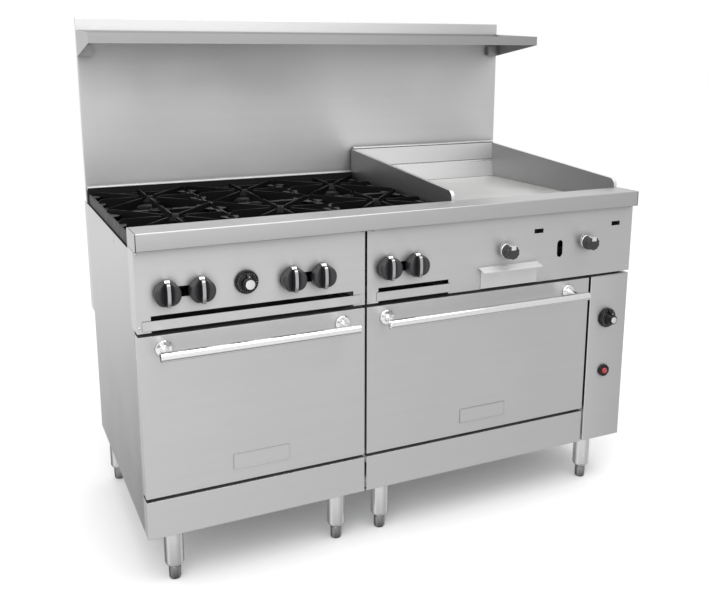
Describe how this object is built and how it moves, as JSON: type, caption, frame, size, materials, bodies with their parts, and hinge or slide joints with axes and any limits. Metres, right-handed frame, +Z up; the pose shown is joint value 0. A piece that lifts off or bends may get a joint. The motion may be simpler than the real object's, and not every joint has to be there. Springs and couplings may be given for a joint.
{
  "type": "commercial gas range",
  "caption": "Free-standing stainless gas range with open top burners, a griddle with splash guard, two bottom-hinged ovens, a backguard with high shelf and adjustable legs.",
  "frame": {"origin": "on the floor under the middle of the bounding box", "axes": "+X to the right along the front, +Y to the back, +Z up"},
  "size_m": [1.524, 0.9092, 1.4732],
  "materials": {
    "stainless": "fine horizontal brushing",
    "griddle_steel": "ground plate",
    "aluminised_steel": "matte aluminised",
    "polished_handle": "polished",
    "rack_chrome": "plated wire",
    "oven_enamel": "speckled porcelain enamel",
    "valve_brass": "cast and machined",
    "cast_iron": "sand cast, matte black",
    "knob_black": "moulded, satin",
    "button_red": "translucent red"
  },
  "bodies": {
    "root": {"side_panel_left": "stainless", "side_panel_right": "stainless", "kick_panel_left": "stainless", "kick_panel_right": "stainless", "front_ledge": "stainless", "control_panel_left": "stainless", "control_panel_right": "stainless", "oven_control_panel": "stainless", "burner_box": "stainless", "griddle_splash": "stainless", "flue_riser": "stainless", "backguard": "stainless", "high_shelf": "stainless", "leg_1_front": "stainless", "leg_1_rear": "stainless", "leg_2_front": "stainless", "leg_2_rear": "stainless", "leg_3_front": "stainless", "leg_3_rear": "stainless", "leg_4_front": "stainless", "leg_4_rear": "stainless", "griddle_plate": "griddle_steel", "back_panel": "aluminised_steel", "base_frame_left": "aluminised_steel", "base_frame_right": "aluminised_steel", "oven_burner_left": "aluminised_steel", "oven_burner_right": "aluminised_steel", "griddle_burner": "aluminised_steel", "oven_rack_left": "rack_chrome", "oven_rack_right": "rack_chrome", "oven_liner_left": "oven_enamel", "oven_liner_right": "oven_enamel", "gas_manifold": "valve_brass", "burner_pair_1": "cast_iron", "burner_pair_2": "cast_iron", "burner_pair_3": "cast_iron"},
    "door_left": {"oven_door_left": "stainless", "door_handle_left": "polished_handle"},
    "door_right": {"oven_door_right": "stainless", "door_handle_right": "polished_handle"},
    "burner_knob_1": {"burner_knob_1": "knob_black"},
    "burner_knob_2": {"burner_knob_2": "knob_black"},
    "burner_knob_3": {"burner_knob_3": "knob_black"},
    "burner_knob_4": {"burner_knob_4": "knob_black"},
    "burner_knob_5": {"burner_knob_5": "knob_black"},
    "burner_knob_6": {"burner_knob_6": "knob_black"},
    "griddle_knob_1": {"griddle_knob_1": "knob_black"},
    "griddle_knob_2": {"griddle_knob_2": "knob_black"},
    "thermostat_dial_left": {"thermostat_dial_left": "knob_black"},
    "thermostat_dial_right": {"thermostat_dial_right": "knob_black"},
    "igniter_button": {"igniter_button": "button_red"},
    "crumb_tray_left": {"crumb_tray_left": "stainless"},
    "crumb_tray_right": {"crumb_tray_right": "stainless"},
    "grease_drawer": {"grease_drawer": "stainless"},
    "grate_front_1": {"grate_front_1": "cast_iron"},
    "grate_rear_1": {"grate_rear_1": "cast_iron"},
    "grate_front_2": {"grate_front_2": "cast_iron"},
    "grate_rear_2": {"grate_rear_2": "cast_iron"},
    "grate_front_3": {"grate_front_3": "cast_iron"},
    "grate_rear_3": {"grate_rear_3": "cast_iron"}
  },
  "joints": [
    {"name": "oven_door_left_hinge", "type": "hinge", "parent": "root", "child": "door_left", "pos_m": [-0.457, -0.3689, 0.273], "axis": [1, 0, 0], "range_deg": [0, 88]},
    {"name": "oven_door_right_hinge", "type": "hinge", "parent": "root", "child": "door_right", "pos_m": [0.23, -0.3689, 0.273], "axis": [1, 0, 0], "range_deg": [0, 88]},
    {"name": "burner_knob_1_turn", "type": "hinge", "parent": "root", "child": "burner_knob_1", "pos_m": [-0.6877, -0.3969, 0.798], "axis": [0, -1, 0], "range_deg": [0, 90]},
    {"name": "burner_knob_2_turn", "type": "hinge", "parent": "root", "child": "burner_knob_2", "pos_m": [-0.6023, -0.3969, 0.798], "axis": [0, -1, 0], "range_deg": [0, 90]},
    {"name": "burner_knob_3_turn", "type": "hinge", "parent": "root", "child": "burner_knob_3", "pos_m": [-0.3623, -0.3969, 0.798], "axis": [0, -1, 0], "range_deg": [0, 90]},
    {"name": "burner_knob_4_turn", "type": "hinge", "parent": "root", "child": "burner_knob_4", "pos_m": [-0.2798, -0.3969, 0.798], "axis": [0, -1, 0], "range_deg": [0, 90]},
    {"name": "burner_knob_5_turn", "type": "hinge", "parent": "root", "child": "burner_knob_5", "pos_m": [-0.0852, -0.3969, 0.798], "axis": [0, -1, 0], "range_deg": [0, 90]},
    {"name": "burner_knob_6_turn", "type": "hinge", "parent": "root", "child": "burner_knob_6", "pos_m": [-0.0014, -0.3969, 0.798], "axis": [0, -1, 0], "range_deg": [0, 90]},
    {"name": "griddle_knob_1_turn", "type": "hinge", "parent": "root", "child": "griddle_knob_1", "pos_m": [0.3005, -0.3969, 0.808], "axis": [0, -1, 0], "range_deg": [0, 90]},
    {"name": "griddle_knob_2_turn", "type": "hinge", "parent": "root", "child": "griddle_knob_2", "pos_m": [0.5901, -0.3969, 0.808], "axis": [0, -1, 0], "range_deg": [0, 90]},
    {"name": "thermostat_dial_left_turn", "type": "hinge", "parent": "root", "child": "thermostat_dial_left", "pos_m": [-0.4854, -0.3969, 0.804], "axis": [0, 1, 0], "range_deg": [0, 270]},
    {"name": "thermostat_dial_right_turn", "type": "hinge", "parent": "root", "child": "thermostat_dial_right", "pos_m": [0.685, -0.3969, 0.556], "axis": [0, 1, 0], "range_deg": [0, 270]},
    {"name": "igniter_button_push", "type": "slide", "parent": "root", "child": "igniter_button", "axis": [0, 1, 0], "range_m": [0, 0.003], "stiffness_N_per_m": 500, "springref_m": -0.002},
    {"name": "crumb_tray_left_slide", "type": "slide", "parent": "root", "child": "crumb_tray_left", "axis": [0, -1, 0], "range_m": [0, 0.45]},
    {"name": "crumb_tray_right_slide", "type": "slide", "parent": "root", "child": "crumb_tray_right", "axis": [0, -1, 0], "range_m": [0, 0.45]},
    {"name": "grease_drawer_slide", "type": "slide", "parent": "root", "child": "grease_drawer", "axis": [0, -1, 0], "range_m": [0, 0.32]},
    {"name": "grate_front_1_lift", "type": "slide", "parent": "root", "child": "grate_front_1", "axis": [0, 0, 1], "range_m": [0, 0.12]},
    {"name": "grate_rear_1_lift", "type": "slide", "parent": "root", "child": "grate_rear_1", "axis": [0, 0, 1], "range_m": [0, 0.12]},
    {"name": "grate_front_2_lift", "type": "slide", "parent": "root", "child": "grate_front_2", "axis": [0, 0, 1], "range_m": [0, 0.12]},
    {"name": "grate_rear_2_lift", "type": "slide", "parent": "root", "child": "grate_rear_2", "axis": [0, 0, 1], "range_m": [0, 0.12]},
    {"name": "grate_front_3_lift", "type": "slide", "parent": "root", "child": "grate_front_3", "axis": [0, 0, 1], "range_m": [0, 0.12]},
    {"name": "grate_rear_3_lift", "type": "slide", "parent": "root", "child": "grate_rear_3", "axis": [0, 0, 1], "range_m": [0, 0.12]}
  ]
}
